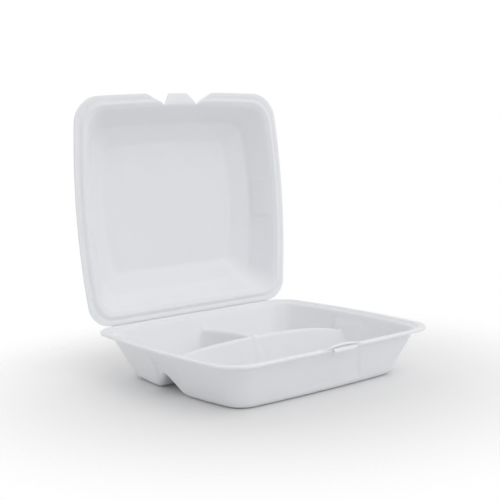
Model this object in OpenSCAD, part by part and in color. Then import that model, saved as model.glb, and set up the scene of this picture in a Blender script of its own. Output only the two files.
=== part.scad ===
// Hinged foam meal box with three compartments, standing open.
// +Z is up, +Y points to the hinge, +X runs along the hinge, all in mm.

/* [Box] */
// Width across the middle of the two bowed sides
box_w = 214; // [190:1:240]
// Depth from the straight hinge edge to the middle of the front edge
box_d = 190; // [174:1:213]
// Height of the base from the table to the top of its rim
base_h = 38.5; // [35:0.5:46]
// Height of the lid above the rim when it is shut
lid_h = 30; // [27:0.5:35]
// Thickness of the foam sheet
foam_t = 2.4; // [1.8:0.1:2.8]
// How far the lid is opened from shut, in degrees
lid_open = 92.5; // [60:0.5:110]

/* [Rim] */
// Width of the base's rim from its edge to the top of the wall
rim_w = 7.2; // [7:0.2:8.4]
// Width of the lid's rim from its edge to the foot of the lid's wall
lid_rim_w = 10.2; // [9.6:0.2:11.6]
// Radius of the rim's front corners
corner_r = 20; // [17:1:26]
// Radius of the rim's rear corners, beside the hinge
rear_r = 17; // [15:1:22]
// Share of the corner radius lost for each mm that the outline moves in
corner_tighten = 0.018; // [0.01:0.002:0.019]
// Bow of the left and right sides at their middle
side_bow = 6.4; // [0:0.2:8]
// Bow of the front side at its middle
front_bow = 2.6; // [0:0.2:5]
// Width of the flat lip along the rim's edge
lip_w = 3.4; // [2.8:0.2:3.4]
// Drop of the seat inside the lip
seat_drop = 1.4; // [1.2:0.1:2]
// Height of the lid's bead, which drops onto the seat
bead_h = 1; // [0.8:0.1:1.1]
// Sideways clearance between the lid's bead and the base's lip
bead_gap = 0.5; // [0.4:0.1:0.8]

/* [Walls] */
// Slope of the base walls from upright, in degrees
wall_draft = 23.5; // [18:0.5:25]
// Radius where the base walls meet the floor, on the outside
floor_r = 8; // [5:0.5:12]
// Radius where the walls meet the rim, on the outside
rim_r = 2; // [1:0.2:2]
// Distance that the lid wall leans in from the rim to its shoulder
lid_lean = 14; // [10:1:18]
// Height of the lid's shoulder as a share of the lid's inner height
shoulder_share = 0.725; // [0.6:0.005:0.8]
// Width of the lid's sloping shoulder band
shoulder_w = 16; // [10:1:22]
// Radius of the lid's shoulder edges
shoulder_r = 5; // [3:0.5:8]

/* [Panels] */
// Depth that the pressed wall panels are set in
panel_push = 0.9; // [0.5:0.1:1.2]
// Half length of the panels on the left and right walls
side_panel = 17; // [12:1:24]
// Place of the side panels in front of the middle of the box
side_panel_y = 0; // [0:1:10]
// Half width of the base's front panel near the rim
front_panel_top = 26; // [22:1:30]
// Half width of the base's front panel near the floor
front_panel_foot = 34; // [30:1:42]

/* [Dividers] */
// Place of the cross divider's crest behind the middle of the box
divider_y = 12.5; // [0:0.5:24]
// Height of the cross divider's crest at the middle
crest_h = 30; // [26:0.5:33]
// Drop of the crest from the middle to the side walls
crest_drop = 12; // [0:0.5:14]
// Drop of the short divider's crest from the cross divider to the rear wall
stem_drop = 7; // [0:0.5:10]
// Half width of the dividers at their crest
crest_half = 2.6; // [2.2:0.1:4]
// Slope of the divider faces from upright, in degrees
divider_draft = 19; // [14:0.5:22]
// Forward bend of the cross divider at the side walls
divider_bend = 10; // [0:1:14]
// Widening of each face of the cross divider at the side walls, which rounds the compartment corners
divider_flare = 24; // [0:1:28]
// Widening of each face of the short divider at the rear wall
stem_flare = 14; // [0:1:18]
// Extra drop of the hollow under the divider where it opens in the side walls
hollow_drop = 9; // [0:0.5:12]

/* [Catch] */
// Half width of the lid's tab at its tip
tab_tip = 9; // [7:0.5:12]
// Half width of the lid's tab at its root
tab_root = 18; // [15:0.5:22]
// Half width of the cut-out beside the tab at the rim's edge
notch_half = 34; // [30:1:40]
// Upward tilt of the tab's tip over its root
tab_lift = 3.4; // [3.4:0.1:5]
// Share of the tab's length at which it is bent
tab_bend = 0.6; // [0.4:0.05:0.8]
// Half width of the raised bridge on the base rim
bridge_half = 24; // [18:0.5:28]
// Height of the bridge over the rim
bridge_rise = 2.6; // [2.2:0.1:2.8]
// Thickness of the bridge
bridge_t = 1.6; // [1.2:0.1:1.8]
// Half width of the ledge under the bridge
ledge_half = 11; // [8:0.5:13]
// Reach of the ledge in front of the rim
ledge_reach = 1.6; // [1:0.1:2.4]
// Height of the ledge from its foot to the top of the rim
ledge_h = 3.4; // [2.8:0.1:4]

/* [Hinge] */
// Clearance between the two rims when the box is shut
shut_gap = 0.3; // [0.2:0.05:0.6]
// Thickness of the pressed crease along the hinge edge
crease_t = 1; // [0.8:0.1:1.4]
// Width of the pressed crease on each side of the hinge line
crease_w = 3.2; // [2.4:0.2:4]

/* [Hidden] */
corner_steps = 6;
side_steps = 7;
arc_steps = 3;
half_w = box_w / 2 - side_bow;
half_d = (box_d - front_bow) / 2;
mid_y = front_bow / 2;
rear_y = mid_y + half_d;
front_y = -box_d / 2;
hinge_y = rear_y + shut_gap / 2;
hinge_z = base_h + shut_gap / 2;
seat_slope = 45;
lip_top = lip_w + foam_t * tan(seat_slope / 2);
wall_top = base_h - foam_t - seat_drop;
floor_inset = rim_w + wall_top * tan(wall_draft);
shoulder_h = shoulder_share * (lid_h - foam_t);
lid_slope = atan((lid_lean - bead_h / 2) / (shoulder_h - bead_h));
base_wall = foam_t / cos(wall_draft);
lid_wall = foam_t / cos(lid_slope);
panel_foot = floor_r;
panel_head = wall_top - 3 * rim_r;
crease_half = half_w - rear_r;
sliver = 0.02;
station_n = 10;
wall_slant = foam_t / cos(divider_draft);

// Unit direction from one profile point to the next
function dir(p, q) = (q - p) / norm(q - p);

// Normal on the right of a direction
function right(v) = [v.y, -v.x];

// Profile point i moved sideways by t, mitred between its two neighbours
function moved(path, i, t) =
    let (n0 = right(dir(path[max(i - 1, 0)], path[max(i, 1)])))
    let (n1 = right(dir(path[min(i, len(path) - 2)], path[min(i + 1, len(path) - 1)])))
    path[i] + t * (n0 + n1) / (1 + n0 * n1);

// Whole profile moved sideways by t
function moved_path(path, t) = [for (i = [0:len(path) - 1]) moved(path, i, t)];

// Arc that rounds the corner at q between p and s with radius r
function corner_arc(p, q, s, r) =
    let (u = dir(q, p), v = dir(q, s))
    let (half = acos(min(1, max(-1, u * v))) / 2)
    let (centre = q + (u + v) / norm(u + v) * r / sin(half))
    let (a = q + u * r / tan(half), b = q + v * r / tan(half))
    [for (i = [0:arc_steps])
        let (m = a + (b - a) * i / arc_steps)
        centre + r * dir(centre, m)];

// Profile with the corners rounded where their radius is above zero
function rounded(path, radii) = [
    for (i = [0:len(path) - 1])
        each radii[i] > 0 ? corner_arc(path[i - 1], path[i], path[i + 1], radii[i]) : [path[i]]
];

// Outline radius at inset d, for corner c counted round from the rear right
function radius_at(d, c) = (c % 4 < 2 ? rear_r : corner_r) * (1 - corner_tighten * d);

// Centre of corner c's arc in a rectangle of half sizes a and b
function corner_at(a, b, d, c) =
    let (r = radius_at(d, c))
    [(c % 4 == 0 || c % 4 == 3 ? 1 : -1) * (a - r), (c % 4 < 2 ? 1 : -1) * (b - r)];

// Rounded rectangle of half sizes a and b, with points along its sides too
function rounded_rect(a, b, d) = [
    for (c = [0:3])
        let (r = radius_at(d, c), centre = corner_at(a, b, d, c))
        let (out = [cos(90 * (c + 1)), sin(90 * (c + 1))])
        let (from = centre + r * out)
        let (to = corner_at(a, b, d, c + 1) + radius_at(d, c + 1) * out)
        each concat(
            [for (i = [0:corner_steps])
                let (w = 90 * (c + i / corner_steps))
                centre + r * [cos(w), sin(w)]],
            [for (i = [1:side_steps - 1])
                from + (to - from) * i / side_steps]
        )
];

// Outline at inset d: a rounded rectangle with bowed left, right and front sides
function outline(d) =
    let (a = half_w - d, b = half_d - d)
    [for (p = rounded_rect(a, b, d))
        [p.x + side_bow * p.x / a * (1 - pow(p.y / b, 2)),
         mid_y + p.y + (p.y < 0 ? front_bow * p.y / b * (1 - pow(p.x / a, 2)) : 0)]];

// Base profile on the outside, from the floor up and out to the rim's edge
base_line = [
    [floor_inset + floor_r + foam_t, 0],
    [floor_inset, 0],
    [rim_w, wall_top],
    [lip_w + seat_drop, wall_top],
    [lip_w, base_h - foam_t],
    [0, base_h - foam_t]
];
base_out = rounded(base_line, [0, floor_r, rim_r, 0, 0, 0]);
base_in = rounded(moved_path(base_line, foam_t), [0, floor_r - foam_t, rim_r + foam_t, 0, 0, 0]);

// Lid profile on the inside, with the rim's mating face at zero height
lid_line = [
    [0, 0],
    [lip_top + bead_gap, 0],
    [lip_top + bead_gap + bead_h, -bead_h],
    [lid_rim_w - bead_h / 2, -bead_h],
    [lid_rim_w + bead_h / 2, bead_h],
    [lid_rim_w + lid_lean, shoulder_h],
    [lid_rim_w + lid_lean + shoulder_w, lid_h - foam_t],
    [lid_rim_w + lid_lean + shoulder_w + 2 * shoulder_r, lid_h - foam_t]
];
lid_in = rounded(lid_line, [0, 0, 0, 0, 0, shoulder_r, shoulder_r, 0]);
lid_out = rounded(
    moved_path(lid_line, -foam_t),
    [0, 0, 0, 0, 0, shoulder_r + foam_t, shoulder_r + foam_t, 0]
);

// Solid between a first and a last ring, closed with a fan at each end
module loft(profile) {
    rings = [for (p = profile) [for (q = outline(p.x)) [q.x, q.y, p.y]]];
    n = len(rings[0]);
    last = len(rings) - 1;
    ends = [[0, mid_y, profile[0].y], [0, mid_y, profile[last].y]];
    points = concat([for (ring = rings) each ring], ends);
    bottom = [for (i = [0:n - 1]) [(last + 1) * n, i, (i + 1) % n]];
    top = [for (i = [0:n - 1]) [(last + 1) * n + 1, last * n + (i + 1) % n, last * n + i]];
    sides = [for (k = [0:last - 1]) for (i = [0:n - 1])
        each [[k * n + i, (k + 1) * n + i, (k + 1) * n + (i + 1) % n],
              [k * n + i, (k + 1) * n + (i + 1) % n, k * n + (i + 1) % n]]];
    polyhedron(points, concat(bottom, sides, top));
}

// A profile read from its far end
function backward(path) = [for (i = [len(path) - 1:-1:0]) path[i]];

// Height of the cross divider's crest at x, which falls faster near the walls
function crest_at(x) = crest_h - crest_drop * (pow(x / half_w, 2) + pow(x / half_w, 6)) / 2;

// Height of the short divider's crest at share s of its run
function stem_at(s) = crest_h - stem_drop * s * s;

// Upright slice of a divider of height h, its faces moved in by t and widened by flare
module slice(h, t, flare) {
    slope = tan(divider_draft);
    top = crest_half + t * slope - (t > 0 ? wall_slant : 0);
    crown = min(crest_half / 2, h / 4);
    low = t > 0 ? -foam_t : foam_t / 2;
    linear_extrude(sliver)
        polygon([
            [-top - (h - t - crown - low) * slope - flare, low],
            [top + (h - t - crown - low) * slope + flare, low],
            [top, h - t - crown],
            [top / 2, h - t],
            [-top / 2, h - t],
            [-top, h - t - crown]
        ]);
}

// Cross divider, with its faces moved in by t and its ends dropped by drop
module cross_ridge(t, drop) {
    for (i = [0:station_n - 1]) {
        hull()
            for (k = [i, i + 1]) {
                x = half_w * (2 * k / station_n - 1);
                f = pow(x / half_w, 4);
                translate([x, divider_y - divider_bend * f, 0])
                    rotate([90, 0, 90])
                        slice(crest_at(x) - drop * f, t, divider_flare * f);
            }
    }
}

// Short divider from the cross divider to the rear wall, with its faces moved in by t
module stem_ridge(t, drop) {
    run = rear_y - divider_y;
    steps = station_n / 2;
    for (i = [0:steps - 1])
        hull()
            for (k = [i, i + 1]) {
                f = pow(k / steps, 4);
                translate([0, divider_y + run * k / steps, 0])
                    rotate([90, 0, 0])
                        slice(stem_at(k / steps) - drop * f, t, stem_flare * f);
            }
}

// Wedge that presses the outer face of a rim down to the crease at the hinge edge
module crease_cut() {
    hull() {
        translate([-crease_half, rear_y - crease_w, -foam_t - sliver])
            cube([2 * crease_half, sliver, sliver]);
        translate([-crease_half, rear_y, -foam_t - sliver])
            cube([2 * crease_half, foam_t, foam_t - crease_t + sliver]);
    }
}

// Inset of the base wall's outside at height z
function base_inset(z) = rim_w + (wall_top - z) * tan(wall_draft);

// Inset of the lid wall's outside at height z over the mating face
function lid_inset(z) = lid_rim_w + bead_h / 2 + (z - bead_h) * tan(lid_slope) - lid_wall;

// Slab along a wall, between two heights and two depths from the wall's outside
module wall_slab(foot, head, half_foot, half_head, near, far) {
    hull() {
        translate([-half_foot, foot.x + near, foot.y])
            cube([2 * half_foot, far - near, sliver]);
        translate([-half_head, head.x + near, head.y])
            cube([2 * half_head, far - near, sliver]);
    }
}

// Child set at both the left and the right wall
module at_sides() {
    for (side = [0, 1])
        mirror([side, 0, 0])
            translate([box_w / 2, -side_panel_y, 0])
                rotate([0, 0, 90])
                    children();
}

// Part of a base side panel between two depths
module base_side_slab(near, far) {
    foot = [base_inset(panel_foot), panel_foot];
    head = [base_inset(panel_head), panel_head];
    wall_slab(foot, head, side_panel, side_panel, near, far);
}

// Part of the base front panel between two depths
module base_front_slab(near, far) {
    foot = [base_inset(panel_foot), panel_foot];
    head = [base_inset(panel_head), panel_head];
    translate([0, front_y, 0])
        wall_slab(foot, head, front_panel_foot, front_panel_top, near, far);
}

// Part of a lid side panel between two depths
module lid_side_slab(near, far) {
    low = foam_t + bead_h;
    high = shoulder_h - foam_t;
    wall_slab([lid_inset(low), low], [lid_inset(high), high], side_panel, side_panel, near, far);
}

// Raised bridge over the rim's front edge that the tab is tucked under
module bridge() {
    for (i = [0:station_n - 1])
        hull()
            for (k = [i, i + 1]) {
                x = bridge_half * (2 * k / station_n - 1);
                arch = (bridge_rise + bridge_t) * cos(90 * x / bridge_half) - bridge_t;
                rise = max(arch, bridge_t - foam_t);
                translate([x, front_y + bridge_t, base_h + rise - bridge_t / 2])
                    sphere(d = bridge_t, $fn = 8);
            }
}

// Sloping ledge on the rim's front edge below the bridge
module ledge() {
    hull() {
        translate([-ledge_half, front_y + sliver, base_h - foam_t])
            cube([2 * ledge_half, foam_t, foam_t - sliver]);
        translate([-ledge_half, front_y - ledge_reach, base_h - ledge_h])
            cube([2 * ledge_half, foam_t, ledge_h - foam_t / 2]);
    }
}

// Row of the tab's cross pieces at share s of the way from its root to its tip
module tab_row(s) {
    half = tab_root + (tab_tip - tab_root) * s;
    for (side = [-1, 1])
        translate([side * (half - foam_t / 2), front_y + lid_rim_w + (foam_t / 2 - lid_rim_w) * s, 0])
            translate([0, 0, bead_h + (tab_lift - bead_h) * s])
                cylinder(d = foam_t, h = foam_t, $fn = 16);
}

// Tapered tab tilted up from the lid's front wall, in two pieces
module tab() {
    hull() {
        tab_row(0);
        tab_row(tab_bend);
    }
    hull() {
        tab_row(tab_bend);
        tab_row(1);
    }
}

// Gap in the lid's rim that leaves room for the tab
module tab_gap() {
    hull()
        for (side = [-1, 1]) {
            translate([side * notch_half, front_y - foam_t, -foam_t])
                cylinder(d = sliver, h = 3 * foam_t, $fn = 8);
            translate([side * (tab_root - foam_t / 2), front_y + lid_rim_w - foam_t / 2, -foam_t])
                cylinder(d = foam_t, h = 3 * foam_t, $fn = 16);
        }
}

// Base: tray with bowed walls, stepped rim and hollow T-shaped dividers
module base() {
    color("white")
        union() {
            difference() {
                union() {
                    loft(concat(base_out, backward(base_in)));
                    base_front_slab(base_wall / 2, base_wall + panel_push);
                    at_sides()
                        base_side_slab(base_wall / 2, base_wall + panel_push);
                    intersection() {
                        union() {
                            cross_ridge(0, 0);
                            stem_ridge(0, 0);
                        }
                        loft(base_out);
                    }
                }
                cross_ridge(foam_t, hollow_drop);
                stem_ridge(foam_t, hollow_drop);
                base_front_slab(-rim_w, panel_push);
                at_sides()
                    base_side_slab(-rim_w, panel_push);
                translate([0, 0, base_h])
                    crease_cut();
            }
            bridge();
            ledge();
        }
}

// Lid as it lies when shut, with the mating face at zero height
module shut_lid() {
    difference() {
        union() {
            loft(concat(backward(lid_in), lid_out));
            at_sides()
                lid_side_slab(lid_wall / 2, lid_wall + panel_push);
        }
        at_sides()
            lid_side_slab(-rim_w / 2, panel_push);
        tab_gap();
        mirror([0, 0, 1])
            crease_cut();
    }
    tab();
}

// Lid: shallow cover with a sloping shoulder, opened about the hinge line
module lid() {
    color("white")
        translate([0, hinge_y, hinge_z])
            rotate([-lid_open, 0, 0])
                translate([0, -hinge_y, shut_gap / 2])
                    shut_lid();
}

base();
lid();
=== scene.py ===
import bmesh
import bpy
import numpy as np
from math import cos, pi, radians, sin, tan
from mathutils import Matrix, Vector


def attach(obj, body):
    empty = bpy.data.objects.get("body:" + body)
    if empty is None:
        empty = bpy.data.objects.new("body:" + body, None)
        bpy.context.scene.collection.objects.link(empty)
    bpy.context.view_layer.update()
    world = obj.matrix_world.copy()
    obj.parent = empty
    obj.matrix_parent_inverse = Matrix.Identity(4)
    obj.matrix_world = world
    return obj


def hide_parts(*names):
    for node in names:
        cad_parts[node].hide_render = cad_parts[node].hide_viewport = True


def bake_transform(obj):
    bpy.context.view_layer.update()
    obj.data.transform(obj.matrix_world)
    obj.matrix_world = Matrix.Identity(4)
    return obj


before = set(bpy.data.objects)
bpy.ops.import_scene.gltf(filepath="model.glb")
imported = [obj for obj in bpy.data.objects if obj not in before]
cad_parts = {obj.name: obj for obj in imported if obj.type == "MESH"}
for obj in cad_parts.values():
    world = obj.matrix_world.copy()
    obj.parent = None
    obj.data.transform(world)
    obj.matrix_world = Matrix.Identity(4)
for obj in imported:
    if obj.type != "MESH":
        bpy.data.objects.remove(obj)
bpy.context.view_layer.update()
print("frame loaded:", sorted(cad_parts))

mm = 0.001  # sizes are in millimetres where no other unit is named

# Box: what the tray and the lid share
boxForm = {
    "width": 214.0, "depth": 190.0,        # across the middle of the bowed sides
    "sideBow": 6.4, "frontBow": 2.6,
    "frontRadius": 20.0, "rearRadius": 17.0, "cornerTighten": 0.018,
    "foam": 2.4, "baseHeight": 38.5, "shutGap": 0.3, "lidOpen": 92.5,  # lidOpen in degrees
    "edgeRound": 0.5, "edgeFlat": 0.4, "edgeTurns": (75, 50, 25, 0, -25, -50, -75),
    "lipThin": 0.2, "lipSpan": (3.6, 1.2),  # foam pressed thinner towards the rim's edge
    "creaseThick": 1.0, "creaseWidth": 3.2,
    "creaseFade": (1.5, 0.6), "creaseEnds": 6.0,  # soft edges of the pressed hinge
    "panelPush": 0.9, "panelEdge": 2.0, "panelHead": 2.5,  # pressed wall panels, soft edges
    "sidePanel": (-17.0, 17.0),
    "lines": 120, "arcSteps": 5, "squarePower": 6,  # mesh of the sheets
}
foam = boxForm["foam"]
halfW = boxForm["width"] / 2 - boxForm["sideBow"]
halfD = (boxForm["depth"] - boxForm["frontBow"]) / 2
midY = boxForm["frontBow"] / 2
rearY = midY + halfD
frontY = -boxForm["depth"] / 2
hingeY = rearY + boxForm["shutGap"] / 2
hingeZ = boxForm["baseHeight"] + boxForm["shutGap"] / 2
creaseHalf = halfW - boxForm["rearRadius"]


def smoothStep(low, high, x):
    t = np.clip((x - low) / (high - low), 0, 1)
    return t * t * (3 - 2 * t)


def window(low, high, soft, x):  # 1 between low and high, with soft shoulders
    rise = smoothStep(low - soft / 2, low + soft / 2, x)
    return rise - smoothStep(high - soft / 2, high + soft / 2, x)


def hump(x, at, half):  # 1 at its middle, falling smoothly to 0 on each side
    return np.cos(pi / 2 * np.clip((x - at) / half, -1, 1)) ** 2


def smoothMax(a, b, reach):  # larger of two heights, with a fillet where they cross
    h = np.clip(reach - np.abs(a - b), 0, None) / reach
    return np.maximum(a, b) + h * h * reach / 4


def unitRows(rows):
    return rows / np.maximum(np.linalg.norm(rows, axis=1), 1e-12)[:, None]


def gridLines(spots, samples=4001):  # lines from -1 to 1, closer together round each spot
    t = np.linspace(-1, 1, samples)
    density = 1 + sum(gain * np.exp(-((t - at) / wide) ** 2) for at, wide, gain in spots)
    total = np.concatenate([[0], np.cumsum((density[1:] + density[:-1]) / 2)])
    lines = np.interp(np.linspace(0, total[-1], boxForm["lines"] + 1), total, t)
    lines[0], lines[-1] = -1, 1
    return lines


def squareEdge(u, v):  # points round the grid's border, front side first
    one = np.ones(len(u) - 1)
    su = np.concatenate([u[:-1], one, u[:0:-1], -one])
    sv = np.concatenate([-one, v[:-1], one, v[:0:-1]])
    return su, sv


def onOutline(su, sv, a, b, r):  # border of the square to a rounded rectangle
    x, y = a * su, b * sv
    side = np.abs(su) >= np.abs(sv)
    t = np.where(side, np.abs(y) - (b - r), np.abs(x) - (a - r)) / r
    turn = np.clip(t, 0, 1) * pi / 4
    onArc = t > 0
    acrossX, acrossY = a - r + r * np.cos(turn), b - r + r * np.cos(turn)
    alongX, alongY = a - r + r * np.sin(turn), b - r + r * np.sin(turn)
    px = np.where(side, np.sign(su) * acrossX, np.where(onArc, np.sign(su) * alongX, x))
    py = np.where(side, np.where(onArc, np.sign(sv) * alongY, y), np.sign(sv) * acrossY)
    return px, py


def bowed(x, y, a, b):  # sides and front swell outwards, the hinge side stays straight
    bowX = boxForm["sideBow"] * x / a * (1 - (y / b) ** 2)
    bowY = np.where(y < 0, boxForm["frontBow"] * y / b * (1 - (x / a) ** 2), 0)
    return x + bowX, midY + y + bowY


def radiusAt(sv, d):  # corners tighten as the outline moves in
    radius = np.where(sv > 0, boxForm["rearRadius"], boxForm["frontRadius"])
    return radius * (1 - boxForm["cornerTighten"] * d)


def ringAt(su, sv, d):  # outline of the box moved in by d
    a, b = halfW - d, halfD - d
    x, y = onOutline(su, sv, a, b, radiusAt(sv, d))
    return bowed(x, y, a, b)


def fieldAt(u, v, d):  # grid inside the outline at inset d
    gu, gv = np.meshgrid(u, v)
    a, b = halfW - d, halfD - d
    m = np.maximum(np.abs(gu), np.abs(gv))
    safe = np.where(m > 0, m, 1)
    x, y = onOutline(gu / safe, gv / safe, a, b, radiusAt(gv, d))
    w = m ** boxForm["squarePower"]  # square lines in the middle, the outline's at the border
    return bowed(a * gu * (1 - w) + x * m * w, b * gv * (1 - w) + y * m * w, a, b)


def movedPath(path, t):  # profile moved to its right by t, mitred at its corners
    p = np.array(path, float)
    d = np.diff(p, axis=0)
    d /= np.linalg.norm(d, axis=1)[:, None]
    n = np.stack([d[:, 1], -d[:, 0]], 1)
    n0, n1 = np.vstack([n[:1], n]), np.vstack([n, n[-1:]])
    return p + t * (n0 + n1) / (1 + (n0 * n1).sum(1))[:, None]


def cornerArc(before, corner, after, radius):  # points of a fillet at one corner
    u, v = before - corner, after - corner
    u, v = u / np.linalg.norm(u), v / np.linalg.norm(v)
    half = np.arccos(np.clip(u @ v, -1, 1)) / 2
    mid = (u + v) / np.linalg.norm(u + v)
    centre = corner + mid * radius / sin(half)
    a, b = corner + u * radius / tan(half) - centre, corner + v * radius / tan(half) - centre
    turn = pi - 2 * half
    return [centre + (np.sin((1 - s) * turn) / sin(turn) * a + np.sin(s * turn) / sin(turn) * b)
            for s in np.linspace(0, 1, boxForm["arcSteps"] + 1)]


def roundedPath(path, radii, longest):  # corners rounded, each run divided to its longest step
    p = np.array(path, float)
    out = [p[0]]
    for i in range(1, len(p)):
        if i < len(p) - 1 and radii[i] > 0:
            stops = cornerArc(p[i - 1], p[i], p[i + 1], radii[i])
        else:
            stops = [p[i]]
        run = stops[0] - out[-1]
        pieces = max(1, int(np.ceil(np.linalg.norm(run) / longest[i - 1])))
        out += [out[-1] + run * k / pieces for k in range(1, pieces)] + stops
    return np.array(out)


def pointNormals(points, quads):  # area-weighted vertex normals
    c = points[quads]
    n = np.cross(c[:, 2] - c[:, 0], c[:, 3] - c[:, 1])
    total = np.zeros_like(points)
    for k in range(4):
        np.add.at(total, quads[:, k], n)
    return unitRows(total)


def quadStrips(loops):  # quads between each loop of points and the next
    return [np.stack([low, high, np.roll(high, -1), np.roll(low, -1)], 1)
            for low, high in zip(loops[:-1], loops[1:])]


def sheetQuads(count, rings):  # grid, then rings from its border outwards
    n = count + 1
    j, i = np.meshgrid(np.arange(count), np.arange(count), indexing="ij")
    first = (j * n + i).ravel()
    grid = np.stack([first, first + 1, first + n + 1, first + n], 1)
    run = np.arange(count)
    border = np.concatenate([run, run * n + count, count * n + count - run, (count - run) * n])
    loops = [border] + [n * n + k * 4 * count + np.arange(4 * count) for k in range(rings)]
    return np.vstack([grid] + quadStrips(loops)), loops[-1]


def meshObject(name, points, quads):
    mesh = bpy.data.meshes.new(name)
    mesh.from_pydata((points * mm).tolist(), [], quads.tolist())
    mesh.polygons.foreach_set("use_smooth", np.ones(len(mesh.polygons), bool))
    mesh.update()
    piece = bpy.data.objects.new(name, mesh)
    bpy.context.scene.collection.objects.link(piece)
    return piece


def sheetFace(u, v, path, shape, edgeCut):  # points of one face, and how far in each lies
    su, sv = squareEdge(u, v)
    floorInset, floorZ = path[0]
    x, y = fieldAt(u, v, floorInset)
    insets = [np.full(x.size, floorInset)]
    level = np.full(x.size, floorZ)
    faces = [np.stack(shape(x.ravel(), y.ravel(), insets[0], level, None, None), 1)]
    for d, z in path[1:]:
        inset = edgeCut(su, sv, np.full(len(su), d))
        px, py = ringAt(su, sv, inset)
        insets.append(inset)
        faces.append(np.stack(shape(px, py, inset, np.full(len(su), z), su, sv), 1))
    return np.vstack(faces), np.concatenate(insets)


def uncut(su, sv, d):
    return d


def formedSheet(u, v, path, innerFace, outerFace, edgeCut=uncut):
    # path runs from the floor out to the rim; the face functions give x, y, z of each point
    quads, rim = sheetQuads(boxForm["lines"], len(path) - 1)
    inner = sheetFace(u, v, path, innerFace, edgeCut)[0]
    outer, insets = sheetFace(u, v, path, outerFace, edgeCut)
    whole = sheetFace(u, v, path, outerFace, uncut)[0]  # without notches, for steady normals
    outer = outer - pointNormals(whole, quads) * pressedThick(outer, insets)[:, None]
    # round edge between the two faces
    centre = (inner[rim] + outer[rim]) / 2
    up = (inner[rim] - outer[rim]) / 2
    away = unitRows(np.cross(np.roll(centre, -1, 0) - np.roll(centre, 1, 0), up))
    flat, reach = boxForm["edgeFlat"], boxForm["edgeRound"]
    loops = [centre + up * np.sign(a) * abs(sin(a)) ** flat + away * reach * cos(a) ** flat
             for a in map(radians, boxForm["edgeTurns"])]
    total, n = len(inner), len(rim)
    between = [2 * total + k * n + np.arange(n) for k in range(len(loops))]
    band = quadStrips([rim] + between + [total + rim])
    return np.vstack([inner, outer] + loops), np.vstack([quads, (quads + total)[:, ::-1]] + band)


def pressedThick(points, inset):  # foam pressed thin along the hinge, and a little along the rim
    before, behind = boxForm["creaseFade"]
    near = smoothStep(boxForm["creaseWidth"] + before, behind, rearY - points[:, 1])
    near = near * window(-creaseHalf, creaseHalf, boxForm["creaseEnds"], points[:, 0])
    lip = boxForm["lipThin"] * smoothStep(*boxForm["lipSpan"], inset)
    return foam - np.maximum((foam - boxForm["creaseThick"]) * near, lip)


# Base: tray with bowed walls, stepped rim and hollow T-shaped dividers
trayForm = {
    "rim": 7.2, "lip": 3.4, "seatDrop": 1.4, "draft": 23.5,
    "floorRound": 8.0, "wallRound": 4.0, "seatRound": 0.4, "lipRound": 2.7,
    "dividerY": 12.5, "crest": 30.0, "crestDrop": 12.0, "stemDrop": 7.0,
    "crestRound": 3.2, "dividerDraft": 19.0, "bend": 10.0,
    "flare": 24.0, "stemFlare": 14.0, "flareTop": 8.0,  # dividers widen towards the walls
    "hollowDrop": 9.0,                     # how much lower their hollows end at the walls
    "foot": 7.0, "joint": 4.0,             # fillets at the dividers' foot and where they meet
    "frontPanel": (34.0, 26.0), "frontEdge": 0.8, "panelSpan": (8.0, 29.0),
    "sidePush": 1.4, "sideEdge": 4.2,      # tray's side panels have a broad bevel
    "bareSpan": (1.0, -5.0),               # and fade where a divider covers the wall
    "curl": 0.3, "curlSpan": 2.0,          # lip rolled down at its edge
    "longest": (2.2, 2.2, 2.2, 1.2, 0.8),  # mesh steps along the profile's runs
    "acrossSpots": [(0, 0.07, 2.6), (0, 0.4, 0.5), (-0.3, 0.06, 1.2), (0.3, 0.06, 1.2)],
    "deepSpots": [(0.16, 0.075, 2.6), (0.16, 0.3, 0.4), (-0.195, 0.03, 2.4)],
}
wallTop = boxForm["baseHeight"] - foam - trayForm["seatDrop"]
lipLow = boxForm["baseHeight"] - foam
floorInset = trayForm["rim"] + wallTop * tan(radians(trayForm["draft"]))
trayLine = movedPath([
    (floorInset + trayForm["floorRound"] + foam, 0), (floorInset, 0), (trayForm["rim"], wallTop),
    (trayForm["lip"] + trayForm["seatDrop"], wallTop), (trayForm["lip"], lipLow),
    (boxForm["edgeRound"], lipLow)], foam)
trayRounds = [0, trayForm["floorRound"] - foam, trayForm["wallRound"], trayForm["seatRound"],
              trayForm["lipRound"], 0]
trayPath = roundedPath(trayLine, trayRounds, trayForm["longest"])


def ridge(across, top, slope):  # height of one divider beside its crest
    r = trayForm["crestRound"]
    s = np.abs(across)
    edge = r * np.cos(np.arctan(slope))
    crown = r - np.sqrt(np.maximum(r * r - np.minimum(s, edge) ** 2, 0))
    return top - crown - np.maximum(s - edge, 0) / slope


def dividers(x, y, endDrop):  # u goes from 0 at the middle to 1 at the wall
    lean = tan(radians(trayForm["dividerDraft"]))
    least = trayForm["flareTop"]
    u = np.abs(x) / halfW
    top = trayForm["crest"] - trayForm["crestDrop"] * (u ** 2 + u ** 6) / 2 - endDrop * u ** 4
    middle = trayForm["dividerY"] - trayForm["bend"] * u ** 4
    cross = ridge(y - middle, top, lean + trayForm["flare"] * u ** 4 / np.maximum(top, least))
    u = np.maximum(y - trayForm["dividerY"], 0) / (rearY - trayForm["dividerY"])
    top = trayForm["crest"] - trayForm["stemDrop"] * u ** 2 - endDrop * u ** 4
    before = np.minimum(y - trayForm["dividerY"], 0)
    slope = lean + trayForm["stemFlare"] * u ** 4 / np.maximum(top, least)
    return smoothMax(cross, ridge(np.hypot(x, before), top, slope), trayForm["joint"])


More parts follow.
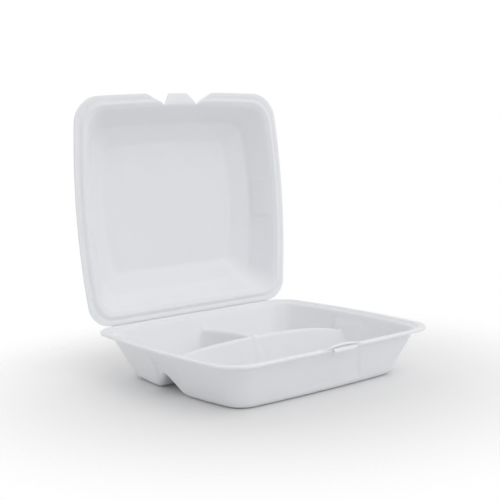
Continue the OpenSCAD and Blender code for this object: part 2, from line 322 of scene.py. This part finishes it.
def trayFace(endDrop):
    def face(x, y, d, z, su, sv):
        if su is not None:  # wall panels are set in
            low, high = trayForm["panelSpan"]
            tall = window(low, high, boxForm["panelHead"], z)
            bare = smoothStep(*trayForm["bareSpan"], dividers(x, y, endDrop) - z)
            along = window(*boxForm["sidePanel"], trayForm["sideEdge"], y)
            sides = (np.abs(su) == 1) * along * bare
            foot, head = trayForm["frontPanel"]
            half, soft = foot + (head - foot) * (z - low) / (high - low), trayForm["frontEdge"]
            front = (sv == -1) * smoothStep(half + soft, half - soft, np.abs(x))
            push = np.maximum(trayForm["sidePush"] * sides, boxForm["panelPush"] * front)
            x, y = ringAt(su, sv, d + tall * push)
        curl = trayForm["curl"] * np.clip(1 - d / trayForm["curlSpan"], 0, 1) ** 2
        z = z - curl * (y < rearY - boxForm["creaseWidth"])
        return x, y, smoothMax(z, dividers(x, y, endDrop), trayForm["foot"])
    return face


points, quads = formedSheet(gridLines(trayForm["acrossSpots"]), gridLines(trayForm["deepSpots"]),
                            trayPath, trayFace(0), trayFace(trayForm["hollowDrop"]))
tray = meshObject("foamTray", points, quads)
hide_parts("base")
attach(tray, "tray")
print("tray:", len(quads) * 2, "triangles")

# Lid: shallow cover with a sloping shoulder, a bead round its rim and a tab at its front
lidForm = {
    "rim": 10.2, "height": 30.0, "lean": 14.0, "topRun": 12.0,
    "shoulder": 20.0, "shoulderWidth": 16.0, "shoulderRound": 6.0,
    "footOut": 0.5, "footRound": 3.8,      # where the wall meets the rim
    "bead": 1.0, "beadAt": 7.4, "beadHalf": 2.7,
    "groove": 0.35, "grooveAt": 4.3, "grooveHalf": 1.1, "panelSpan": (4.0, 17.0),
    "tabTip": 9.0, "tabRoot": 18.0, "tabEdge": 1.0, "tabLift": 3.4,
    "notchHalf": 34.0, "notchDeep": 9.8, "notchFlat": 0.6, "notchEnd": 0.4,
    "longest": (1.6, 1.6, 1.6, 0.55),      # mesh steps along the profile's runs
    "acrossSpots": [(0, 0.36, 1.6)],
    "deepSpots": [(-0.195, 0.03, 2.4), (0.168, 0.03, 2.4)],
}
lidDepth = lidForm["height"] - foam
lidRim = lidForm["rim"]
shoulderIn = lidRim + lidForm["lean"]
topIn = shoulderIn + lidForm["shoulderWidth"]
lidLine = [(topIn + lidForm["topRun"], -lidDepth), (topIn, -lidDepth),
           (shoulderIn, -lidForm["shoulder"]), (lidRim + lidForm["footOut"], 0),
           (boxForm["edgeRound"], 0)]
lidRounds = [0, lidForm["shoulderRound"], lidForm["shoulderRound"], lidForm["footRound"], 0]
lidPath = roundedPath(lidLine, lidRounds, lidForm["longest"])


def frontCut(x):  # depth of the two notches beside the tab, along the front edge
    root, flat, deep = lidForm["tabRoot"], lidForm["notchFlat"], lidForm["notchDeep"]
    stops = [0, lidForm["tabTip"], root - flat, root + flat, lidForm["notchHalf"]]
    return np.interp(np.abs(x), stops, [0, 0, deep, deep, 0])


def notched(su, sv, d):  # rim drawn in to the notches
    x = ringAt(su, sv, np.full(len(su), boxForm["edgeRound"]))[0]
    cut = np.where(sv == -1, frontCut(x), 0)
    full = lidRim + lidForm["notchEnd"]
    return np.where(d < full, cut + d * (1 - cut / full), d)


def lidFace(bead):  # drawn upside down, with the rim at 0 and the top below it
    def face(x, y, d, z, su, sv):
        if su is not None:
            low, high = lidForm["panelSpan"]
            tall = window(-high, -low, boxForm["panelHead"], z)
            sides = (np.abs(su) == 1) * window(*boxForm["sidePanel"], boxForm["panelEdge"], y)
            x, y = ringAt(su, sv, d + boxForm["panelPush"] * tall * sides)
            root, soft = lidForm["tabRoot"], lidForm["tabEdge"]
            onTab = (sv == -1) * smoothStep(root + soft, root - soft, np.abs(x))
            lines = lidForm["bead"] * hump(d, lidForm["beadAt"], lidForm["beadHalf"])
            lines -= lidForm["groove"] * hump(d, lidForm["grooveAt"], lidForm["grooveHalf"])
            z = z + bead * lines * (1 - onTab)
            reach = np.clip(1 - d / lidRim, 0, 1)  # from the tab's root to its tip
            # the tab curves as a strip does that is held at its root
            z = z - lidForm["tabLift"] * onTab * reach * reach * (1.5 - reach / 2)
        return x, y, z
    return face


points, quads = formedSheet(gridLines(lidForm["acrossSpots"]), gridLines(lidForm["deepSpots"]),
                            lidPath, lidFace(1), lidFace(0), notched)
points[:, 2] = boxForm["baseHeight"] + boxForm["shutGap"] - points[:, 2]  # shut, over the base
quads = quads[:, ::-1]


def opened(p):  # lid turned from shut to how it stands
    a = radians(boxForm["lidOpen"])
    y, z = p[:, 1] - hingeY, p[:, 2] - hingeZ
    turnedY, turnedZ = y * cos(a) + z * sin(a), z * cos(a) - y * sin(a)
    return np.stack([p[:, 0], hingeY + turnedY, hingeZ + turnedZ], 1)


cover = meshObject("foamLid", opened(points), quads)
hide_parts("lid")
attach(cover, "cover")
print("lid:", len(quads) * 2, "triangles")

# Catch: raised bridge over the front lip, and the ledge below its slot
catchForm = {
    "half": 24.0, "rise": 2.6, "thick": 1.9, "deep": 2.2, "setBack": 0.4,
    "squareness": 0.6, "sides": 16, "stations": 61,  # bridge's section, and its mesh
    "ledgeHalf": 11.0, "ledgeReach": 1.6, "ledgeHeight": 3.4, "ledgeRoot": 2.4,
    "ledgeSink": 0.02, "ledgeStations": 25,
}


def sweptBand(stations, section):  # closed section carried along stations of (x, y, z)
    n = len(section)
    pts = np.vstack([[(x, y + sy, z + sz) for sy, sz in section] for x, y, z in stations])
    run, after = np.arange(n), (np.arange(n) + 1) % n
    quads = [np.stack([k * n + run, k * n + after, (k + 1) * n + after, (k + 1) * n + run], 1)
             for k in range(len(stations) - 1)]
    return pts, np.vstack(quads)


def capped(piece):  # close the two ends of a band
    bm = bmesh.new()
    bm.from_mesh(piece.data)
    bmesh.ops.holes_fill(bm, edges=[e for e in bm.edges if e.is_boundary], sides=0)
    bmesh.ops.recalc_face_normals(bm, faces=bm.faces)
    bm.to_mesh(piece.data)
    bm.free()
    return piece


def squared(wave):  # circle drawn out towards a square
    return np.sign(wave) * abs(wave) ** catchForm["squareness"]


def frontLine(x):  # how far the bowed front falls back at x
    return boxForm["frontBow"] * (x / halfW) ** 2


thick, deep = catchForm["thick"], catchForm["deep"]
bridgeSection = [(deep / 2 * squared(cos(t)), thick / 2 * squared(sin(t)))
                 for t in np.linspace(0, 2 * pi, catchForm["sides"] + 1)[:-1]]
bridgeLine = []
for t in np.linspace(-1, 1, catchForm["stations"]):
    x = t * catchForm["half"]
    arch = (catchForm["rise"] + thick) * cos(pi / 2 * t) - thick
    rise = max(arch, thick - foam + boxForm["lipThin"])  # ends stay inside the lip
    bridgeLine.append((x, frontY + deep / 2 + catchForm["setBack"] + frontLine(x),
                       boxForm["baseHeight"] + rise - thick / 2))
bridge = capped(meshObject("catchBridge", *sweptBand(bridgeLine, bridgeSection)))
out, foot, root = -catchForm["ledgeReach"], -catchForm["ledgeHeight"], catchForm["ledgeRoot"]
ledgeSection = [  # back and height from the lip's top edge
    (root, 0), (0.5, -0.1), (-0.6, -0.5), (out + 0.2, -1.1), (out, -1.6), (out, foot + 0.7),
    (out + 0.2, foot + 0.2), (out + 0.7, foot), (0.6, foot + 0.3), (root, -1.4)]
ledgeHalf = catchForm["ledgeHalf"]
ledgeLine = [(x, frontY + frontLine(x), boxForm["baseHeight"] - catchForm["ledgeSink"])
             for x in np.linspace(-ledgeHalf, ledgeHalf, catchForm["ledgeStations"])]
ledge = capped(meshObject("catchLedge", *sweptBand(ledgeLine, ledgeSection)))
for piece in (bridge, ledge):
    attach(piece, "tray")
print("catch made")

# Crease: thin skin of foam that joins the two rims along the hinge
creaseForm = {
    "half": creaseHalf - 1.0, "stations": 41,  # stops just short of the corners
    "outside": [(-2.8, -1.12), (-1.2, -1.2), (0.0, -1.16), (0.62, -0.98),
                (1.0, -0.6), (1.2, 0.0), (1.26, 1.2), (1.2, 2.8)],
    "inside": [(0.45, 2.8), (0.42, 1.2), (0.36, 0.3), (0.16, 0.0),
               (-0.1, -0.26), (-0.4, -0.38), (-1.2, -0.4), (-2.8, -0.4)],
    "bend": 0.64,                          # how far from the hinge line the fold ends
}
creaseSection = creaseForm["outside"] + creaseForm["inside"]
creaseLine = [(x, hingeY, hingeZ)
              for x in np.linspace(-creaseForm["half"], creaseForm["half"], creaseForm["stations"])]
crease = capped(meshObject("hingeCrease", *sweptBand(creaseLine, creaseSection)))
bend = creaseForm["bend"]
(hingeY - bend) * mm
(hingeZ - bend) * mm
(hingeY + bend) * mm
(hingeZ + bend) * mm
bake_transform(crease)
print("crease made")


class Wire:  # a socket that can be reckoned with
    def __init__(self, tree, socket):
        self.tree, self.socket = tree, socket

    def node(self, kind, settings, sockets, out=0):
        made = self.tree.nodes.new(kind)
        for key, value in settings.items():
            setattr(made, key, value)
        for key, value in sockets.items():
            if isinstance(value, Wire):
                self.tree.links.new(value.socket, made.inputs[key])
            else:
                made.inputs[key].default_value = value
        return Wire(self.tree, made.outputs[out])

    def reckon(self, operation, first, second):
        return self.node("ShaderNodeMath", {"operation": operation}, {0: first, 1: second})

    def __add__(self, other):
        return self.reckon("ADD", self, other)

    def __sub__(self, other):
        return self.reckon("SUBTRACT", self, other)

    def __rsub__(self, other):
        return self.reckon("SUBTRACT", other, self)

    def __mul__(self, other):
        return self.reckon("MULTIPLY", self, other)

    __radd__, __rmul__ = __add__, __mul__


# Pressed foam: white skin over small closed cells, faintly mottled and unevenly glossy
foamLook = {
    "pale": (0.842, 0.849, 0.867, 1), "deep": (0.812, 0.819, 0.837, 1),
    "cellSize": 0.9, "grainSize": 0.25, "cloudSize": 16.0,
    "cellSoft": 0.6, "grainDetail": 2.0, "cloudDetail": 3.0,
    "cellTint": 0.55, "grainTint": 0.2, "cloudTint": 0.5,  # shares in the mottling
    "rough": 0.58, "roughSpread": 0.16, "specular": 0.12,
    "cellHeight": 0.05, "grainShare": 0.3, "cloudHeight": 0.25,
    "lightDepth": 2.0, "lightReach": (1.0, 1.0, 1.0),  # how far light goes into the foam
}


def pressedFoam(name):
    material = bpy.data.materials.new(name)
    material.use_nodes = True
    tree = material.node_tree
    shader = tree.nodes["Principled BSDF"]
    start = Wire(tree, None)
    place = start.node("ShaderNodeTexCoord", {}, {}, "Object")

    def noise(size, detail):
        return start.node("ShaderNodeTexNoise", {},
                          {"Vector": place, "Scale": 1 / (size * mm), "Detail": detail}, 0)

    cells = start.node("ShaderNodeTexVoronoi", {"feature": "SMOOTH_F1"},
                       {"Vector": place, "Scale": 1 / (foamLook["cellSize"] * mm),
                        "Smoothness": foamLook["cellSoft"]}, "Distance")
    grain = noise(foamLook["grainSize"], foamLook["grainDetail"])
    cloud = noise(foamLook["cloudSize"], foamLook["cloudDetail"])
    mottle = (cells * foamLook["cellTint"] + grain * foamLook["grainTint"]
              + cloud * foamLook["cloudTint"])
    colour = start.node("ShaderNodeMix", {"data_type": "RGBA"},  # 6, 7 and 2 are its colour sockets
                        {"Factor": mottle, 6: foamLook["pale"], 7: foamLook["deep"]}, 2)
    spread = foamLook["roughSpread"]
    rough = grain * spread + cloud * spread + (foamLook["rough"] - spread)
    swell = start.node("ShaderNodeBump", {}, {"Height": cloud, "Strength": 1.0,
                                              "Distance": foamLook["cloudHeight"] * mm})
    skin = start.node("ShaderNodeBump", {}, {"Height": 1 - cells + grain * foamLook["grainShare"],
                                             "Strength": 1.0, "Normal": swell,
                                             "Distance": foamLook["cellHeight"] * mm})
    tree.links.new(colour.socket, shader.inputs["Base Color"])
    tree.links.new(rough.socket, shader.inputs["Roughness"])
    tree.links.new(skin.socket, shader.inputs["Normal"])
    shader.inputs["Specular IOR Level"].default_value = foamLook["specular"]
    shader.inputs["Subsurface Weight"].default_value = 1.0
    shader.inputs["Subsurface Radius"].default_value = foamLook["lightReach"]
    shader.inputs["Subsurface Scale"].default_value = foamLook["lightDepth"] * mm
    return material


foamSkin = pressedFoam("pressedFoam")
for piece in (tray, cover, bridge, ledge, crease):
    piece.data.materials.clear()
    piece.data.materials.append(foamSkin)
print("foam finish made")

# Floor: pale, fading out before it meets the white behind
floorForm = {
    "colour": (0.88, 0.88, 0.883, 1), "rough": 0.9,
    "reach": 2.0, "fade": (0.10, 0.30),    # metres from the middle
}
far = floorForm["reach"]
floorMesh = bpy.data.meshes.new("floor")
corners = [(-far, -far, 0), (far, -far, 0), (far, far, 0), (-far, far, 0)]
floorMesh.from_pydata(corners, [], [(0, 1, 2, 3)])
floor = bpy.data.objects.new("floor", floorMesh)
bpy.context.scene.collection.objects.link(floor)
floorLook = bpy.data.materials.new("paleFloor")
floorLook.use_nodes = True
floorShader = floorLook.node_tree.nodes["Principled BSDF"]
floorShader.inputs["Base Color"].default_value = floorForm["colour"]
floorShader.inputs["Roughness"].default_value = floorForm["rough"]
start = Wire(floorLook.node_tree, None)
place = start.node("ShaderNodeTexCoord", {}, {}, "Object")
away = start.node("ShaderNodeVectorMath", {"operation": "LENGTH"}, {0: place}, "Value")
near, end = floorForm["fade"]
fade = start.node("ShaderNodeMapRange", {"interpolation_type": "SMOOTHSTEP"},
                  {"Value": away, "From Min": near, "From Max": end,
                   "To Min": 1.0, "To Max": 0.0}, 0)
floorLook.node_tree.links.new(fade.socket, floorShader.inputs["Alpha"])
floorMesh.materials.append(floorLook)

# Light: white all round, dimmer in front, with one broad soft light high in front
lightForm = {
    "white": (1.0, 1.0, 1.0, 1), "backLight": 1.0, "frontLight": 0.63,
    "facing": (0.55, 0.74, -0.4), "blend": (-0.3, 0.6),  # where the bright back is and comes in
    "keyFrom": (0.12, -0.7, 0.7), "keyStrength": 0.8, "keySpread": 70.0,  # spread in degrees
}
world = bpy.data.worlds.new("studio")
bpy.context.scene.world = world
world.use_nodes = True
start = Wire(world.node_tree, None)
heading = start.node("ShaderNodeTexCoord", {}, {}, "Generated")
along = start.node("ShaderNodeVectorMath", {"operation": "DOT_PRODUCT"},
                   {0: heading, 1: lightForm["facing"]}, "Value")
low, high = lightForm["blend"]
share = start.node("ShaderNodeMapRange", {"interpolation_type": "SMOOTHSTEP"},
                   {"Value": along, "From Min": low, "From Max": high,
                    "To Min": 0.0, "To Max": 1.0}, 0)
fore, back = (start.node("ShaderNodeBackground", {},
                         {"Color": lightForm["white"], "Strength": lightForm[side]})
              for side in ("frontLight", "backLight"))
both = start.node("ShaderNodeMixShader", {}, {0: share, 1: fore, 2: back})
world.node_tree.links.new(both.socket, world.node_tree.nodes["World Output"].inputs["Surface"])
bpy.context.scene.view_settings.view_transform = "Standard"

lamp = bpy.data.lights.new("key", "SUN")
lamp.energy, lamp.angle = lightForm["keyStrength"], radians(lightForm["keySpread"])
light = bpy.data.objects.new("key", lamp)
bpy.context.scene.collection.objects.link(light)
light.rotation_euler = Vector(lightForm["keyFrom"]).to_track_quat("Z", "Y").to_euler()

# Camera: front left of the box and a little above it
cameraForm = {
    "at": (-490.7, -616.8, 200.9),
    "turn": 37.14, "down": 8.448, "roll": -1.93,  # degrees
    "lens": 72.24, "sensor": 36, "shift": (0.02524, 0.04518),
    "nearest": 0.01,                       # metres
}
turn, down, roll = (radians(cameraForm[k]) for k in ("turn", "down", "roll"))
ahead = Vector((sin(turn) * cos(down), cos(turn) * cos(down), -sin(down)))
level = Vector((cos(turn), -sin(turn), 0))
above = level.cross(ahead)
right = level * cos(roll) + above * sin(roll)
up = above * cos(roll) - level * sin(roll)
lens = bpy.data.cameras.new("camera")
lens.lens, lens.sensor_width = cameraForm["lens"], cameraForm["sensor"]
lens.shift_x, lens.shift_y = cameraForm["shift"]
lens.clip_start = cameraForm["nearest"]
camera = bpy.data.objects.new("camera", lens)
bpy.context.scene.collection.objects.link(camera)
facing = Matrix((right, up, -ahead)).transposed().to_4x4()
camera.matrix_world = Matrix.Translation(Vector(cameraForm["at"]) * mm) @ facing
bpy.context.scene.camera = camera
print("stage, light and camera set")
